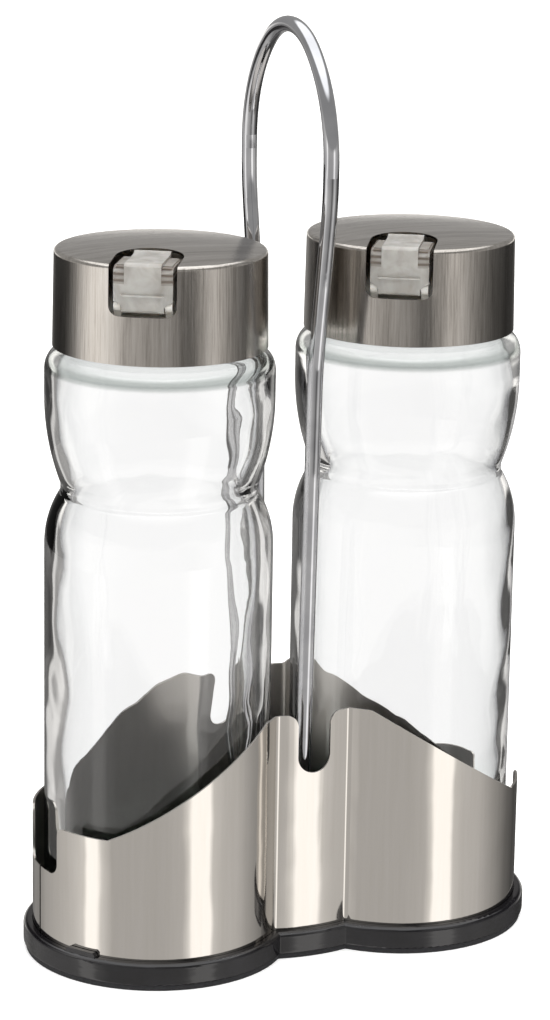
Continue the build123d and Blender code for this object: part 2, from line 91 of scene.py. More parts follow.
def add(tree, kind, settings=None, inputs=None, stops=None):
    """Adds a node. Inputs are values or other nodes' outputs; stops fill a colour ramp."""
    node = tree.nodes.new(kind)
    for name, value in (settings or {}).items():
        setattr(node, name, value)
    for name, value in (inputs or {}).items():
        if isinstance(value, bpy.types.NodeSocket):
            tree.links.new(value, node.inputs[name])
        else:
            node.inputs[name].default_value = value
    if stops:
        elements = node.color_ramp.elements
        while len(elements) > 1:
            elements.remove(elements[-1])
        elements[0].position, elements[0].color = stops[0]
        for place, colour in stops[1:]:
            elements.new(place).color = colour
    return node


def finish_of(name):
    """New material with an empty tree; returns the material and its tree."""
    material = bpy.data.materials.new(name)
    material.use_nodes = True
    tree = material.node_tree
    tree.nodes.clear()
    return material, tree


def surface(tree, shader):
    """Links a shader to the material's output."""
    add(tree, "ShaderNodeOutputMaterial", inputs={"Surface": shader.outputs[0]})


def off_cup_axis(tree, place):
    """Level offset of a point from the upright axis of its own cup."""
    axes = add(tree, "ShaderNodeSeparateXYZ", inputs={"Vector": place}).outputs
    side = add(tree, "ShaderNodeMath", {"operation": "SIGN"}, {0: axes["X"]})
    cup = add(tree, "ShaderNodeMath", {"operation": "MULTIPLY"}, {0: side.outputs[0], 1: PITCH / 2})
    off_axis = add(tree, "ShaderNodeMath", {"operation": "SUBTRACT"}, {
        0: axes["X"], 1: cup.outputs[0]})
    level = add(tree, "ShaderNodeCombineXYZ", inputs={"X": off_axis.outputs[0], "Y": axes["Y"]})
    return level.outputs[0]


# --------------------------------------------------------- materials
def pressed_glass():
    """Soda-lime glass, pressed and fire polished: clear and glossy, with slow ripples in the surface,
    and painted shade that turns the edges dark grey-violet where the surface is seen at a grazing
    angle."""
    material, tree = finish_of("pressed_glass")
    place = add(tree, "ShaderNodeTexCoord").outputs["Object"]
    stretch = add(tree, "ShaderNodeMapping", inputs={"Vector": place, "Scale": (1, 1, 0.45)})
    ripple = add(tree, "ShaderNodeTexNoise", inputs={
        "Vector": stretch.outputs[0], "Scale": 95.0, "Detail": 1.0, "Roughness": 0.4})
    bump = add(tree, "ShaderNodeBump", inputs={
        "Height": ripple.outputs["Fac"], "Strength": 0.12, "Distance": 0.0006})
    # Painted shade: the colour turns dark grey-violet towards edges seen at a grazing angle.
    edge = add(tree, "ShaderNodeLayerWeight", inputs={"Blend": 0.5})
    painted_edge_shade = add(tree, "ShaderNodeValToRGB", inputs={"Fac": edge.outputs["Facing"]}, stops=[
        (0.0, linear("ffffff")), (0.72, linear("feffff")), (0.84, linear("d2d3d8")),
        (0.95, linear("8f9098"))])
    # The glass is thickest, and so greenest, in the foot and the shoulder. The dark grey band, the
    # light line above it and the faint grey line higher up round the shoulder are painted shade.
    height = add(tree, "ShaderNodeSeparateXYZ", inputs={"Vector": place}).outputs["Z"]
    share = add(tree, "ShaderNodeMapRange", inputs={
        "Value": height, "From Min": FLOOR_Z, "From Max": NECK_TOP})
    green_and_painted_shoulder_shade = add(tree, "ShaderNodeValToRGB", inputs={"Fac": share.outputs[0]}, stops=[
        (0.03, linear("dcece4")), (0.22, linear("ffffff")), (0.902, linear("ffffff")),
        (0.908, linear("7c8581")), (0.914, linear("d8dedb")), (0.921, linear("ffffff")),
        (0.936, linear("e6e9e8")), (0.944, linear("ffffff"))])
    whole = add(tree, "ShaderNodeMix", {"data_type": "RGBA", "blend_type": "MULTIPLY"}, {
        "Factor": 1.0, 6: painted_edge_shade.outputs[0], 7: green_and_painted_shoulder_shade.outputs[0]})
    glass = add(tree, "ShaderNodeBsdfPrincipled", inputs={
        "Base Color": whole.outputs[2], "Roughness": 0.0, "IOR": 1.52,
        "Transmission Weight": 1.0, "Normal": bump.outputs[0]})
    surface(tree, glass)
    return material


def polished_steel():
    """Stainless sheet, bright rolled and buffed outside: a slightly warm
    mirror with faint upright drawing lines and shallow dents from bending.
    The faces inside the cups keep the duller finish of the mill."""
    material, tree = finish_of("polished_stainless_sheet")
    place = add(tree, "ShaderNodeTexCoord").outputs["Object"]
    upright = add(tree, "ShaderNodeMapping", inputs={"Vector": place, "Scale": (1, 1, 0.04)})
    lines = add(tree, "ShaderNodeTexNoise", inputs={
        "Vector": upright.outputs[0], "Scale": 700.0, "Detail": 3.0, "Roughness": 0.6})
    dents = add(tree, "ShaderNodeTexNoise", inputs={
        "Vector": place, "Scale": 55.0, "Detail": 1.5, "Roughness": 0.45})
    colour = add(tree, "ShaderNodeValToRGB", inputs={"Fac": lines.outputs["Fac"]}, stops=[
        (0.3, linear("cfcbc5")), (0.7, linear("d3cfca"))])
    # Faces that look towards the axis of their own cup are inside.
    facing = add(tree, "ShaderNodeNewGeometry").outputs["Normal"]
    along = add(tree, "ShaderNodeVectorMath", {"operation": "DOT_PRODUCT"}, {
        0: off_cup_axis(tree, place), 1: facing})
    inside = add(tree, "ShaderNodeMath", {"operation": "LESS_THAN"}, {
        0: along.outputs["Value"], 1: -1 * MM})
    polish = add(tree, "ShaderNodeMapRange", inputs={
        "Value": lines.outputs["Fac"], "To Min": 0.05, "To Max": 0.09})
    rough = add(tree, "ShaderNodeMath", {"operation": "MULTIPLY_ADD"}, {
        0: inside.outputs[0], 1: 0.28, 2: polish.outputs[0]})
    wave = add(tree, "ShaderNodeBump", inputs={
        "Height": dents.outputs["Fac"], "Strength": 0.26, "Distance": 0.0012})
    fine = add(tree, "ShaderNodeBump", inputs={
        "Height": lines.outputs["Fac"], "Strength": 0.03, "Distance": 0.0001,
        "Normal": wave.outputs[0]})
    steel = add(tree, "ShaderNodeBsdfPrincipled", inputs={
        "Base Color": colour.outputs[0], "Metallic": 1.0,
        "Roughness": rough.outputs[0], "Normal": fine.outputs[0]})
    surface(tree, steel)
    return material


def brushed_steel():
    """Stainless steel, spun and brushed: satin, with upright hairlines of
    about 0.25 mm on the wall and straight ones across the top."""
    material, tree = finish_of("brushed_stainless_cap")
    place = add(tree, "ShaderNodeTexCoord").outputs["Object"]
    wall = add(tree, "ShaderNodeMapping", inputs={"Vector": place, "Scale": (1, 1, 0.03)})
    top = add(tree, "ShaderNodeMapping", inputs={"Vector": place, "Scale": (0.03, 1, 1)})
    normal = add(tree, "ShaderNodeNewGeometry").outputs["Normal"]
    up = add(tree, "ShaderNodeSeparateXYZ", inputs={"Vector": normal}).outputs["Z"]
    lying = add(tree, "ShaderNodeMath", {"operation": "GREATER_THAN"}, {0: up, 1: 0.7})
    grain_place = add(tree, "ShaderNodeMix", {"data_type": "VECTOR"}, {
        "Factor": lying.outputs[0], 4: wall.outputs[0], 5: top.outputs[0]})
    hair = add(tree, "ShaderNodeTexNoise", inputs={
        "Vector": grain_place.outputs[1], "Scale": 1900.0, "Detail": 4.0, "Roughness": 0.7})
    broad = add(tree, "ShaderNodeTexNoise", inputs={
        "Vector": grain_place.outputs[1], "Scale": 260.0, "Detail": 2.0, "Roughness": 0.5})
    mixed = add(tree, "ShaderNodeMix", inputs={
        "Factor": 0.45, 2: hair.outputs["Fac"], 3: broad.outputs["Fac"]})
    colour = add(tree, "ShaderNodeValToRGB", inputs={"Fac": mixed.outputs[0]}, stops=[
        (0.32, linear("8f8a84")), (0.5, linear("bbb6b0")), (0.68, linear("cfcbc6"))])
    rough = add(tree, "ShaderNodeMapRange", inputs={
        "Value": mixed.outputs[0], "To Min": 0.1, "To Max": 0.26})
    bump = add(tree, "ShaderNodeBump", inputs={
        "Height": mixed.outputs[0], "Strength": 0.35, "Distance": 0.0001})
    steel = add(tree, "ShaderNodeBsdfPrincipled", inputs={
        "Base Color": colour.outputs[0], "Metallic": 1.0,
        "Roughness": rough.outputs[0], "Normal": bump.outputs[0]})
    surface(tree, steel)
    return material


def chromed_wire():
    """Steel wire with bright chromium plate: a cool dark mirror that is very
    slightly rippled along its length."""
    material, tree = finish_of("chrome_plated_wire")
    place = add(tree, "ShaderNodeTexCoord").outputs["Object"]
    ripple = add(tree, "ShaderNodeTexNoise", inputs={
        "Vector": place, "Scale": 120.0, "Detail": 2.0, "Roughness": 0.5})
    colour = add(tree, "ShaderNodeValToRGB", inputs={"Fac": ripple.outputs["Fac"]}, stops=[
        (0.35, linear("b9babe")), (0.65, linear("c9cacd"))])
    rough = add(tree, "ShaderNodeMapRange", inputs={
        "Value": ripple.outputs["Fac"], "To Min": 0.02, "To Max": 0.08})
    bump = add(tree, "ShaderNodeBump", inputs={
        "Height": ripple.outputs["Fac"], "Strength": 0.1, "Distance": 0.0003})
    chrome = add(tree, "ShaderNodeBsdfPrincipled", inputs={
        "Base Color": colour.outputs[0], "Metallic": 1.0,
        "Roughness": rough.outputs[0], "Normal": bump.outputs[0]})
    surface(tree, chrome)
    return material


def zinc_steel():
    """Turned steel with bright zinc plate, for the nuts, washers and pins:
    grey, with a soft uneven shine."""
    material, tree = finish_of("zinc_plated_steel")
    place = add(tree, "ShaderNodeTexCoord").outputs["Object"]
    spangle = add(tree, "ShaderNodeTexVoronoi", inputs={"Vector": place, "Scale": 1400.0})
    colour = add(tree, "ShaderNodeValToRGB", inputs={"Fac": spangle.outputs["Distance"]}, stops=[
        (0.1, linear("a9adb0")), (0.8, linear("c4c8ca"))])
    rough = add(tree, "ShaderNodeMapRange", inputs={
        "Value": spangle.outputs["Distance"], "To Min": 0.25, "To Max": 0.42})
    steel = add(tree, "ShaderNodeBsdfPrincipled", inputs={
        "Base Color": colour.outputs[0], "Metallic": 1.0, "Roughness": rough.outputs[0]})
    surface(tree, steel)
    return material


def black_tray_plastic():
    """Black polystyrene, injection moulded: glossy, with fine level flow
    lines round the lip and a little dulling."""
    material, tree = finish_of("moulded_black_polystyrene")
    place = add(tree, "ShaderNodeTexCoord").outputs["Object"]
    level = add(tree, "ShaderNodeMapping", inputs={"Vector": place, "Scale": (0.06, 0.06, 1)})
    lines = add(tree, "ShaderNodeTexNoise", inputs={
        "Vector": level.outputs[0], "Scale": 900.0, "Detail": 2.0, "Roughness": 0.5})
    haze = add(tree, "ShaderNodeTexNoise", inputs={
        "Vector": place, "Scale": 90.0, "Detail": 4.0, "Roughness": 0.6})
    colour = add(tree, "ShaderNodeValToRGB", inputs={"Fac": haze.outputs["Fac"]}, stops=[
        (0.35, linear("0c0b0e")), (0.7, linear("17161a"))])
    rough = add(tree, "ShaderNodeMapRange", inputs={
        "Value": haze.outputs["Fac"], "To Min": 0.03, "To Max": 0.16})
    bump = add(tree, "ShaderNodeBump", inputs={
        "Height": lines.outputs["Fac"], "Strength": 0.5, "Distance": 0.0003})
    plastic = add(tree, "ShaderNodeBsdfPrincipled", inputs={
        "Base Color": colour.outputs[0], "Roughness": rough.outputs[0], "IOR": 1.59,
        "Normal": bump.outputs[0]})
    surface(tree, plastic)
    return material


def rubber_mat():
    """EVA foam rubber, die cut: matt dark grey with fine closed cells of
    about 0.4 mm."""
    material, tree = finish_of("eva_foam_mat")
    place = add(tree, "ShaderNodeTexCoord").outputs["Object"]
    cells = add(tree, "ShaderNodeTexVoronoi", inputs={"Vector": place, "Scale": 2500.0})
    colour = add(tree, "ShaderNodeValToRGB", inputs={"Fac": cells.outputs["Distance"]}, stops=[
        (0.0, linear("1d1d1f")), (0.7, linear("303033"))])
    bump = add(tree, "ShaderNodeBump", inputs={
        "Height": cells.outputs["Distance"], "Strength": 0.5, "Distance": 0.0002})
    foam = add(tree, "ShaderNodeBsdfPrincipled", inputs={
        "Base Color": colour.outputs[0], "Roughness": 0.85, "Normal": bump.outputs[0]})
    surface(tree, foam)
    return material


def milky_plastic():
    """Natural polypropylene, injection moulded: waxy and cloudy white, with
    slow flow streaks."""
    material, tree = finish_of("natural_polypropylene")
    place = add(tree, "ShaderNodeTexCoord").outputs["Object"]
    flow = add(tree, "ShaderNodeTexNoise", inputs={
        "Vector": place, "Scale": 210.0, "Detail": 3.0, "Roughness": 0.55, "Distortion": 0.6})
    colour = add(tree, "ShaderNodeValToRGB", inputs={"Fac": flow.outputs["Fac"]}, stops=[
        (0.3, linear("c9c5bd")), (0.7, linear("dcd9d2"))])
    rough = add(tree, "ShaderNodeMapRange", inputs={
        "Value": flow.outputs["Fac"], "To Min": 0.24, "To Max": 0.42})
    bump = add(tree, "ShaderNodeBump", inputs={
        "Height": flow.outputs["Fac"], "Strength": 0.15, "Distance": 0.0002})
    plastic = add(tree, "ShaderNodeBsdfPrincipled", inputs={
        "Base Color": colour.outputs[0], "Roughness": rough.outputs[0], "IOR": 1.49,
        "Subsurface Weight": 0.5, "Subsurface Radius": (1.0, 0.9, 0.8),
        "Subsurface Scale": 0.002, "Normal": bump.outputs[0]})
    surface(tree, plastic)
    return material


def spout_plastic():
    """Clarified polypropylene, injection moulded: cloudy and half clear, with glossy edges, and painted
    shade as dark lines between the grip ridges beside the tongue."""
    material, tree = finish_of("clarified_polypropylene")
    place = add(tree, "ShaderNodeTexCoord").outputs["Object"]
    flow = add(tree, "ShaderNodeTexNoise", inputs={
        "Vector": place, "Scale": 210.0, "Detail": 3.0, "Roughness": 0.55, "Distortion": 0.6})
    base = add(tree, "ShaderNodeValToRGB", inputs={"Fac": flow.outputs["Fac"]}, stops=[
        (0.3, linear("bdb9b2")), (0.7, linear("dcdad5"))])
    turned = add(tree, "ShaderNodeVectorRotate", {"rotation_type": "Z_AXIS"}, {
        "Vector": off_cup_axis(tree, place), "Angle": -SPOUT_TURN})
    across = add(tree, "ShaderNodeSeparateXYZ", inputs={"Vector": turned.outputs[0]}).outputs["Y"]
    aside = add(tree, "ShaderNodeMath", {"operation": "ABSOLUTE"}, {0: across})
    beside = add(tree, "ShaderNodeMath", {"operation": "GREATER_THAN"}, {
        0: aside.outputs[0], 1: TONGUE_HALF_WIDTH})
    height = add(tree, "ShaderNodeSeparateXYZ", inputs={"Vector": place}).outputs["Z"]
    above = add(tree, "ShaderNodeMath", {"operation": "GREATER_THAN"}, {0: height, 1: GRIP_LOW})
    turn = add(tree, "ShaderNodeMath", {"operation": "MULTIPLY"}, {
        0: height, 1: 2 * math.pi / GRIP_PITCH})
    wave = add(tree, "ShaderNodeMath", {"operation": "SINE"}, {0: turn.outputs[0]})
    line = add(tree, "ShaderNodeMapRange", inputs={
        "Value": wave.outputs[0], "From Min": -0.9, "From Max": 0.5, "To Min": 1.0, "To Max": 0.4})
    ridge = add(tree, "ShaderNodeMath", {"operation": "MULTIPLY"}, {
        0: beside.outputs[0], 1: above.outputs[0]})
    # Painted shade: the colour is darkened in lines between the grip ridges beside the tongue; the same
    # lines drive the grip bump.
    dark = add(tree, "ShaderNodeMath", {"operation": "MULTIPLY"}, {
        0: ridge.outputs[0], 1: line.outputs[0]})
    colour_with_painted_shade = add(tree, "ShaderNodeMix", {"data_type": "RGBA"}, {
        "Factor": dark.outputs[0], 6: base.outputs[0], 7: linear("84796f")})
    rough = add(tree, "ShaderNodeMapRange", inputs={
        "Value": flow.outputs["Fac"], "To Min": 0.14, "To Max": 0.3})
    grain = add(tree, "ShaderNodeBump", inputs={
        "Height": flow.outputs["Fac"], "Strength": 0.2, "Distance": 0.0003})
    grip = add(tree, "ShaderNodeBump", inputs={
        "Height": dark.outputs[0], "Strength": 0.6, "Distance": 0.0003,
        "Normal": grain.outputs[0]})
    grip.invert = True
    plastic = add(tree, "ShaderNodeBsdfPrincipled", inputs={
        "Base Color": colour_with_painted_shade.outputs[2], "Roughness": rough.outputs[0], "IOR": 1.49,
        "Transmission Weight": 0.45, "Subsurface Weight": 0.5,
        "Subsurface Radius": (1.0, 0.9, 0.8), "Subsurface Scale": 0.002,
        "Normal": grip.outputs[0]})
    surface(tree, plastic)
    return material


def silicone():
    """Clear-white silicone rubber, moulded: soft, dull and slightly
    dusty."""
    material, tree = finish_of("moulded_silicone")
    place = add(tree, "ShaderNodeTexCoord").outputs["Object"]
    dust = add(tree, "ShaderNodeTexNoise", inputs={
        "Vector": place, "Scale": 800.0, "Detail": 4.0, "Roughness": 0.7})
    colour = add(tree, "ShaderNodeValToRGB", inputs={"Fac": dust.outputs["Fac"]}, stops=[
        (0.35, linear("c9ccca")), (0.7, linear("dfe1df"))])
    rubber = add(tree, "ShaderNodeBsdfPrincipled", inputs={
        "Base Color": colour.outputs[0], "Roughness": 0.55, "IOR": 1.41,
        "Subsurface Weight": 0.4, "Subsurface Scale": 0.002})
    surface(tree, rubber)
    return material


GLASS = pressed_glass()
SHEET = polished_steel()
CAP = brushed_steel()
CHROME = chromed_wire()
ZINC = zinc_steel()
TRAY = black_tray_plastic()
MAT = rubber_mat()
LINER = milky_plastic()
SPOUT = spout_plastic()
SILICONE = silicone()


# ---------------------------------------------------------- mesh helpers
def new_piece(name, shape, material, body):
    """Turns a bmesh into a finished piece that rides on a body."""
    mesh = bpy.data.meshes.new(name)
    shape.to_mesh(mesh)
    shape.free()
    mesh.materials.append(material)
    piece = bpy.data.objects.new(name, mesh)
    bpy.context.scene.collection.objects.link(piece)
    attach(piece, body)
    return piece


def dress(node, material):
    """Gives a carried-over part its finish."""
    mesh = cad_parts[node].data
    mesh.materials.clear()
    mesh.materials.append(material)


def eased_copy(node, ease, material, body, sharp=40):
    """A part's own shape with its sharp edges rolled over by ease."""
    shape = bmesh.new()
    shape.from_mesh(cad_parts[node].data)
    bmesh.ops.remove_doubles(shape, verts=shape.verts, dist=1e-6)
    bmesh.ops.dissolve_limit(
        shape, angle_limit=math.radians(0.5), verts=shape.verts, edges=shape.edges,
        delimit=set(), use_dissolve_boundaries=False)
    limit = math.radians(sharp)
    edges = [e for e in shape.edges if e.is_manifold and e.calc_face_angle(0) > limit]
    bmesh.ops.bevel(
        shape, geom=edges, offset=ease, offset_type="OFFSET", segments=2, profile=0.5,
        affect="EDGES", clamp_overlap=True, material=-1)
    for face in shape.faces:
        face.smooth = True
    piece = new_piece(node + "_finished", shape, material, body)
    even = piece.modifiers.new("even_normals", "WEIGHTED_NORMAL")
    even.keep_sharp = True
    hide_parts(node)
    return piece


# ---------------------------------------------------------- glass bottle
def pinch_radius(wide, waist, run):
    """Radius of the arc that starts upright and drops from wide to waist."""
    drop = wide - waist
    return (drop ** 2 + run ** 2) / (2 * drop)


def pinch_arc(wide, waist, wide_z, waist_z, steps=14):
    """Points of an arc that starts upright at the wide end."""
    run = abs(waist_z - wide_z)
    radius = pinch_radius(wide, waist, run)
    sweep = math.asin(run / radius)
    way = math.copysign(1, waist_z - wide_z)
    return [
        (wide - radius * (1 - math.cos(sweep * i / steps)),
         wide_z + way * radius * math.sin(sweep * i / steps))
        for i in range(steps + 1)
    ]


def outer_radius(z):
    """Outside radius of the bottle between its heel and its shoulder."""
    wide, waist = BOTTLE_RADIUS, WAIST_RADIUS
    if z <= WAIST_LOW:
        run, away = WAIST_LOW - BODY_TOP, z - BODY_TOP
    elif z >= WAIST_HIGH:
        run, away = BULB_LOW - WAIST_HIGH, BULB_LOW - z
    else:
        return waist
    radius = pinch_radius(wide, waist, run)
    return wide - radius + math.sqrt(max(radius ** 2 - max(away, 0) ** 2, 0))


def quarter(centre, radius, start, end, steps=6):
    """Points of a round corner, angles in degrees."""
    turns = [math.radians(start + (end - start) * i / steps) for i in range(steps + 1)]
    return [(centre[0] + radius * math.cos(t), centre[1] + radius * math.sin(t)) for t in turns]


def bottle_wall_line(inset, low):
    """Half profile of the glass surface that lies inset inside the outside,
    from above the heel up to the shoulder."""
    wide = BOTTLE_RADIUS - inset
    waist = WAIST_RADIUS - inset
    line = [(wide, low + (BODY_TOP - low) * i / 30) for i in range(1, 30)]
    line += pinch_arc(wide, waist, BODY_TOP, WAIST_LOW)
    line += reversed(pinch_arc(wide, waist, BULB_LOW, WAIST_HIGH))
    line += [(wide, BULB_LOW + (BULB_HIGH - BULB_LOW) * i / 4) for i in range(1, 4)]
    end = NECK_RADIUS if inset == 0 else BORE_RADIUS
    rise = SHOULDER_TOP - inset / 2 - BULB_HIGH
    for i in range(11):
        turn = math.radians(90 * i / 10)
        line.append((end + (wide - end) * math.cos(turn), BULB_HIGH + rise * math.sin(turn)))
    return line


def ripple_inside(shape, seed, heavy_wall):
    """Gives a bottle's inner wall slow waves and one uneven side, fading out
    towards the foot and the shoulder."""
    low, high = FLOOR_Z + 8 * MM, SHOULDER_TOP - 4 * MM
    for vert in shape.verts:
        radius = math.hypot(vert.co.x, vert.co.y)
        z = vert.co.z
        mid_wall = outer_radius(z) - GLASS_WALL / 2
        if low < z < high and 1 * MM < radius < mid_wall:
            outward = Vector((vert.co.x, vert.co.y, 0)) / radius
            spot = Vector((outward.x + seed, outward.y, z / RIPPLE_LENGTH))
            fade = min(1, (z - low) / (15 * MM), (high - z) / (8 * MM))
            ripple = SLOW_RIPPLE * noise.noise(spot) + FINE_RIPPLE * noise.noise(3.1 * spot)
            heavy = heavy_wall * max(0, outward.dot(HEAVY_SIDE))
            vert.co += outward * fade * (ripple - RIPPLE_SET_IN - heavy)


def glass_bottle(side, side_x):
    """Pressed bottle, spun from its half section, with the uneven inner
    wall that pressing leaves."""
    foot = BOTTLE_RADIUS - 2 * HEEL_ROUND
    outside = [(0, FLOOR_Z + FOOT_HOLLOW), (foot - FOOT_HOLLOW, FLOOR_Z + FOOT_HOLLOW)]
    outside += [(foot, FLOOR_Z), (BOTTLE_RADIUS - HEEL_ROUND, FLOOR_Z)]
    outside += quarter((BOTTLE_RADIUS - HEEL_ROUND, FLOOR_Z + HEEL_ROUND), HEEL_ROUND, -80, 0)
    outside += bottle_wall_line(0, FLOOR_Z + HEEL_ROUND)
    outside += quarter((NECK_RADIUS - RIM_ROUND, NECK_TOP - RIM_ROUND), RIM_ROUND, 0, 90)
    inner_floor = FLOOR_Z + GLASS_FLOOR
    inner_radius = BOTTLE_RADIUS - GLASS_WALL
    bowl = 2 * HEEL_ROUND
    inside = [(0, inner_floor), (0.5 * inner_radius, inner_floor)]
    inside += quarter((inner_radius - bowl, inner_floor + bowl), bowl, -90, 0)
    inside += bottle_wall_line(GLASS_WALL, inner_floor + bowl)
    inside += quarter((BORE_RADIUS + RIM_ROUND, NECK_TOP - RIM_ROUND), RIM_ROUND, 180, 90)
    shape = bmesh.new()
    section = outside + inside[::-1]
    points = [shape.verts.new((r, 0, z)) for r, z in section]
    edges = [shape.edges.new(pair) for pair in zip(points, points[1:])]
    bmesh.ops.spin(
        shape, geom=points + edges, axis=(0, 0, 1), cent=(0, 0, 0), dvec=(0, 0, 0),
        angle=2 * math.pi, steps=SPIN_STEPS, use_merge=True, use_normal_flip=False, use_duplicate=False)
    bmesh.ops.remove_doubles(shape, verts=shape.verts, dist=1e-6)
    bmesh.ops.recalc_face_normals(shape, faces=shape.faces)
    ripple_inside(shape, RIPPLE_SEEDS[side], HEAVY_WALL[side])
    for face in shape.faces:
        face.smooth = True
    bmesh.ops.translate(shape, verts=shape.verts, vec=(side_x, 0, 0))
    piece = new_piece(side + "_glass_bottle", shape, GLASS, side + "_cruet")
    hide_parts(side + "_bottle")
    return piece


for side, side_x in SIDES.items():
    glass_bottle(side, side_x)
    dress(side + "_cap_shell", CAP)
    dress(side + "_cap_liner", LINER)
    dress(side + "_seal_ring", SILICONE)
    dress(side + "_spout_gasket", SILICONE)
    dress(side + "_spout_pin", ZINC)
    eased_copy(side + "_flip_spout", SPOUT_EASE, SPOUT, side + "_spout", sharp=30)
dress("base_mat", MAT)
dress("handle_loop", CHROME)
dress("handle_nuts", ZINC)
dress("handle_washers", ZINC)
for half in ("sleeve_front", "sleeve_rear"):
    eased_copy(half, SHEET_EASE, SHEET, "holder")
eased_copy("base_tray", TRAY_EASE, TRAY, "holder", sharp=30)


# ----------------------------------------------------------------- studio
CAMERA_PLACE = Vector((-0.3613, -0.8081, 0.3467))
CAMERA_HEADING = math.radians(-23.951)
CAMERA_TILT = math.radians(14.734)
CAMERA_ROLL = math.radians(0.947)
CAMERA_LENS = 231.9          # mm, on a 36 mm wide sensor


def studio_camera():
    """Long-lens camera, a little above the set and to its left."""
    level = math.cos(CAMERA_TILT)
    ahead = Vector((
        -math.sin(CAMERA_HEADING) * level, math.cos(CAMERA_HEADING) * level, -math.sin(CAMERA_TILT)))
    right = ahead.cross(Vector((0, 0, 1))).normalized()
    up = right.cross(ahead)
    right, up = (
        right * math.cos(CAMERA_ROLL) + up * math.sin(CAMERA_ROLL),
        up * math.cos(CAMERA_ROLL) - right * math.sin(CAMERA_ROLL),
    )
    data = bpy.data.cameras.new("studio_camera")
    data.sensor_fit = "HORIZONTAL"
    data.sensor_width = 36
    data.lens = CAMERA_LENS
    data.clip_end = 50
    camera = bpy.data.objects.new("studio_camera", data)
    turn = Matrix((right, up, -ahead)).transposed().to_4x4()
    camera.matrix_world = Matrix.Translation(CAMERA_PLACE) @ turn
    bpy.context.scene.collection.objects.link(camera)
    bpy.context.scene.camera = camera


def studio_floor():
    """Pale plain table top, wide enough to have no edge in view."""
    shape = bmesh.new()
    bmesh.ops.create_circle(shape, cap_ends=True, segments=96, radius=8)
    mesh = bpy.data.meshes.new("studio_floor")
    shape.to_mesh(mesh)
    shape.free()
    material, tree = finish_of("pale_table_top")
    place = add(tree, "ShaderNodeTexCoord").outputs["Object"]
    mottle = add(tree, "ShaderNodeTexNoise", inputs={"Vector": place, "Scale": 30.0, "Detail": 3.0})
    colour = add(tree, "ShaderNodeValToRGB", inputs={"Fac": mottle.outputs["Fac"]}, stops=[
        (0.3, linear("f6f6f5")), (0.7, linear("fbfbfa"))])
    paint = add(tree, "ShaderNodeBsdfPrincipled", inputs={
        "Base Color": colour.outputs[0], "Roughness": 0.9, "Specular IOR Level": 0.0,
        "Emission Color": linear("ffffff"), "Emission Strength": 0.35})
    surface(tree, paint)
    mesh.materials.append(material)
    floor = bpy.data.objects.new("studio_floor", mesh)
    bpy.context.scene.collection.objects.link(floor)
    floor.visible_glossy = False
    floor.visible_transmission = False


# Brightness round the set at table height: degrees to the right of the
# direction from the set to the camera, and the light that comes from there.
SURROUND = [
    (-180, 0.14), (-160, 0.22), (-149, 0.32), (-135, 0.30), (-122, 0.50), (-94, 0.66),
    (-78, 0.78), (-68, 0.95), (-65, 1.6), (-54, 1.6), (-50, 0.9), (-38, 0.58), (-10, 0.58),
    (8, 0.58), (26, 0.64), (32, 1.0), (35, 1.6), (52, 1.6), (56, 0.85), (66, 0.70),
    (82, 0.66), (96, 0.50), (114, 0.32), (130, 0.17), (148, 0.08), (179.5, 0.10),
]
# The same ring as the inside of the glass walls mirrors it.
GLASS_SURROUND = [
    (-180, 0.30), (-170, 0.08), (-150, 0.07), (-146, 0.8), (-141, 0.8), (-137, 0.34), (-129, 0.30),
    (-122, 0.6), (-112, 0.9), (-70, 1.0), (-20, 0.9), (30, 0.9), (90, 0.85), (114, 0.5), (119, 0.07),
    (146, 0.07), (151, 0.95), (166, 0.95), (169, 0.16), (175, 0.2), (179.5, 0.30),
]
# Cards at cap height, brightness by the same degrees.
CAP_SURROUND = [
    (-180, 0.35), (-160, 0.30), (-138, 0.05), (-112, 0.03), (-100, 0.10), (-90, 0.38),
    (-80, 1.0), (-68, 1.45), (-52, 1.1), (-36, 0.66), (-10, 0.50), (10, 0.36), (19, 0.18),
    (27, 0.16), (34, 0.46), (44, 0.64), (51, 0.92), (60, 0.74), (72, 0.44), (84, 0.25),
    (100, 0.10), (124, 0.04), (144, 0.06), (164, 0.30), (180, 0.35),
]
WARM = (1.0, 0.975, 0.945)
LIGHT_GAIN = 2.0             # colours are stored at half their brightness
CARD_RING_RADIUS = 250 * MM
CARD_LOW = 55 * MM
CARD_HIGH = 165 * MM


def turn_from_camera(tree, place):
    """Angle round the upright axis from the camera's side, in radians,
    growing to the camera's right."""
    to_camera = math.atan2(CAMERA_PLACE.y, CAMERA_PLACE.x)
    turned = add(tree, "ShaderNodeVectorRotate", {"rotation_type": "Z_AXIS"}, {
        "Vector": place, "Angle": -to_camera})
    flat = add(tree, "ShaderNodeSeparateXYZ", inputs={"Vector": turned.outputs[0]}).outputs
    angle = add(tree, "ShaderNodeMath", {"operation": "ARCTAN2"}, {0: flat["Y"], 1: flat["X"]})
    return angle.outputs[0]


def ring_tone(tree, angle, stops):
    """Warm grey from a list of degrees and brightnesses, at half strength."""
    share = add(tree, "ShaderNodeMapRange", inputs={
        "Value": angle, "From Min": -math.pi, "From Max": math.pi})
    tone = add(tree, "ShaderNodeValToRGB", inputs={"Fac": share.outputs[0]}, stops=[
        ((degrees + 180) / 360, tuple(value / LIGHT_GAIN * c for c in WARM) + (1,))
        for degrees, value in stops])
    return tone.outputs[0]


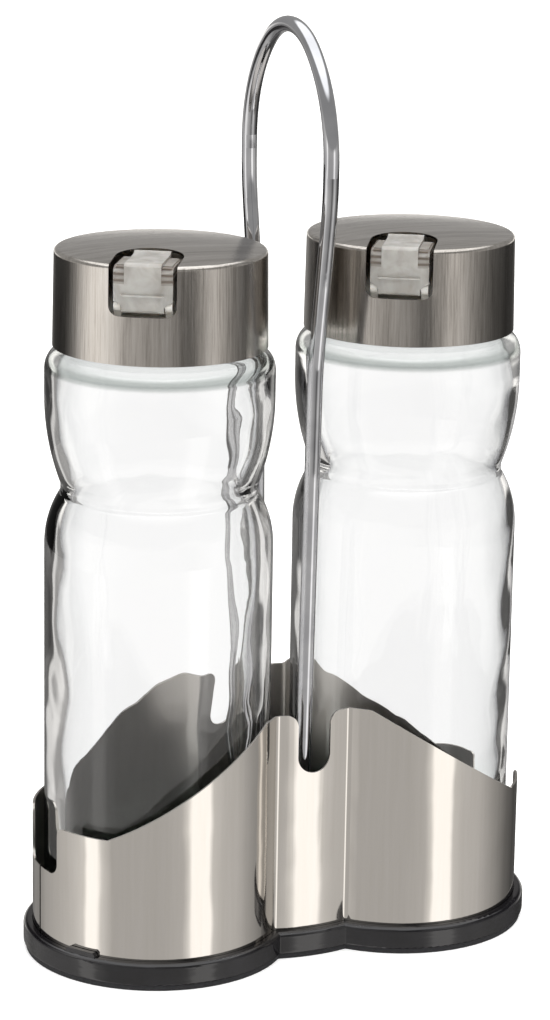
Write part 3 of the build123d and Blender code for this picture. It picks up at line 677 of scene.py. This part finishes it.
def studio_surround():
    """Soft studio light: white strips and dark gaps round the set, a wide
    softbox overhead and plain white behind."""
    world = bpy.data.worlds.new("studio_surround")
    bpy.context.scene.world = world
    world.use_nodes = True
    tree = world.node_tree
    tree.nodes.clear()
    way = add(tree, "ShaderNodeTexCoord").outputs["Generated"]
    axes = add(tree, "ShaderNodeSeparateXYZ", inputs={"Vector": way}).outputs
    angle = turn_from_camera(tree, way)
    rings = [ring_tone(tree, angle, stops) for stops in (SURROUND, GLASS_SURROUND)]
    path = add(tree, "ShaderNodeLightPath").outputs
    in_glass = add(tree, "ShaderNodeMath", {"operation": "GREATER_THAN"}, {
        0: path["Transmission Depth"], 1: 0.5})
    ring = add(tree, "ShaderNodeMix", {"data_type": "RGBA"}, {
        "Factor": in_glass.outputs[0], 6: rings[0], 7: rings[1]})
    # A long strip light behind, level with the table.
    turn_back = add(tree, "ShaderNodeMath", {"operation": "ABSOLUTE"}, {0: angle})
    strip_wide = add(tree, "ShaderNodeMapRange", {"interpolation_type": "SMOOTHSTEP"}, {
        "Value": turn_back.outputs[0], "From Min": 2.2, "From Max": 2.5})
    strip_low = add(tree, "ShaderNodeMapRange", {"interpolation_type": "SMOOTHSTEP"}, {
        "Value": axes["Z"], "From Min": -0.16, "From Max": -0.1})
    strip = add(tree, "ShaderNodeMath", {"operation": "MULTIPLY"}, {
        0: strip_wide.outputs[0], 1: strip_low.outputs[0]})
    lined = add(tree, "ShaderNodeMix", {"data_type": "RGBA"}, {
        "Factor": strip.outputs[0], 6: ring.outputs[2], 7: (0.72, 0.70, 0.67, 1)})
    behind = add(tree, "ShaderNodeMapRange", {"interpolation_type": "SMOOTHSTEP"}, {
        "Value": axes["Z"], "From Min": -0.02, "From Max": 0.06})
    wall = add(tree, "ShaderNodeMix", {"data_type": "RGBA"}, {
        "Factor": behind.outputs[0], 6: lined.outputs[2], 7: (0.2, 0.197, 0.193, 1)})
    height = add(tree, "ShaderNodeMapRange", {"interpolation_type": "SMOOTHSTEP"}, {
        "Value": axes["Z"], "From Min": 0.6, "From Max": 0.75})
    sky = add(tree, "ShaderNodeMix", {"data_type": "RGBA"}, {
        "Factor": height.outputs[0], 6: wall.outputs[2], 7: (0.9, 0.9, 0.9, 1)})
    # Straight views, and level or downward views through clear glass, see
    # the plain backdrop.
    straight = add(tree, "ShaderNodeMath", {"operation": "LESS_THAN"}, {
        0: path["Glossy Depth"], 1: 0.5})
    level = add(tree, "ShaderNodeMath", {"operation": "LESS_THAN"}, {0: axes["Z"], 1: 0.05})
    clear = add(tree, "ShaderNodeMath", {"operation": "MULTIPLY"}, {
        0: in_glass.outputs[0], 1: straight.outputs[0]})
    low = add(tree, "ShaderNodeMath", {"operation": "MULTIPLY"}, {
        0: clear.outputs[0], 1: level.outputs[0]})
    plain = add(tree, "ShaderNodeMath", {"operation": "MAXIMUM"}, {
        0: path["Is Camera Ray"], 1: low.outputs[0]})
    final = add(tree, "ShaderNodeMix", {"data_type": "RGBA"}, {
        "Factor": plain.outputs[0], 6: sky.outputs[2], 7: (0.5, 0.5, 0.5, 1)})
    light = add(tree, "ShaderNodeBackground", inputs={
        "Color": final.outputs[2], "Strength": LIGHT_GAIN})
    add(tree, "ShaderNodeOutputWorld", inputs={"Surface": light.outputs[0]})


def cap_cards():
    """Ring of bright and dark cards round the set that only the caps mirror."""
    shape = bmesh.new()
    turns = [math.radians(degrees) for degrees in range(0, 360, 3)]
    lower = [
        shape.verts.new((CARD_RING_RADIUS * math.cos(t), CARD_RING_RADIUS * math.sin(t), CARD_LOW))
        for t in turns]
    ends = [shape.edges.new(pair) for pair in zip(lower, lower[1:] + lower[:1])]
    grown = bmesh.ops.extrude_edge_only(shape, edges=ends)
    upper = [item for item in grown["geom"] if isinstance(item, bmesh.types.BMVert)]
    bmesh.ops.translate(shape, verts=upper, vec=(0, 0, CARD_HIGH - CARD_LOW))
    mesh = bpy.data.meshes.new("cap_cards")
    shape.to_mesh(mesh)
    shape.free()
    material, tree = finish_of("lit_card")
    place = add(tree, "ShaderNodeTexCoord").outputs["Object"]
    tone = ring_tone(tree, turn_from_camera(tree, place), CAP_SURROUND)
    glow = add(tree, "ShaderNodeEmission", inputs={"Color": tone, "Strength": LIGHT_GAIN})
    surface(tree, glow)
    mesh.materials.append(material)
    cards = bpy.data.objects.new("cap_cards", mesh)
    bpy.context.scene.collection.objects.link(cards)
    cards.visible_camera = False
    cards.visible_diffuse = False
    cards.visible_transmission = False
    cards.visible_shadow = False


def softbox(name, place, aim, size, power):
    """Soft area light that faces a point."""
    data = bpy.data.lights.new(name, "AREA")
    data.shape = "RECTANGLE"
    data.size, data.size_y = size
    data.energy = power
    lamp = bpy.data.objects.new(name, data)
    lamp.location = place
    lamp.rotation_euler = (Vector(aim) - Vector(place)).to_track_quat("-Z", "Y").to_euler()
    lamp.visible_glossy = False
    bpy.context.scene.collection.objects.link(lamp)


studio_camera()
studio_floor()
studio_surround()
cap_cards()
softbox("overhead_softbox", (0.1, -0.2, 1.4), (0, 0, 0.1), (1.6, 1.2), 9)
bpy.context.scene.view_settings.view_transform = "Standard"
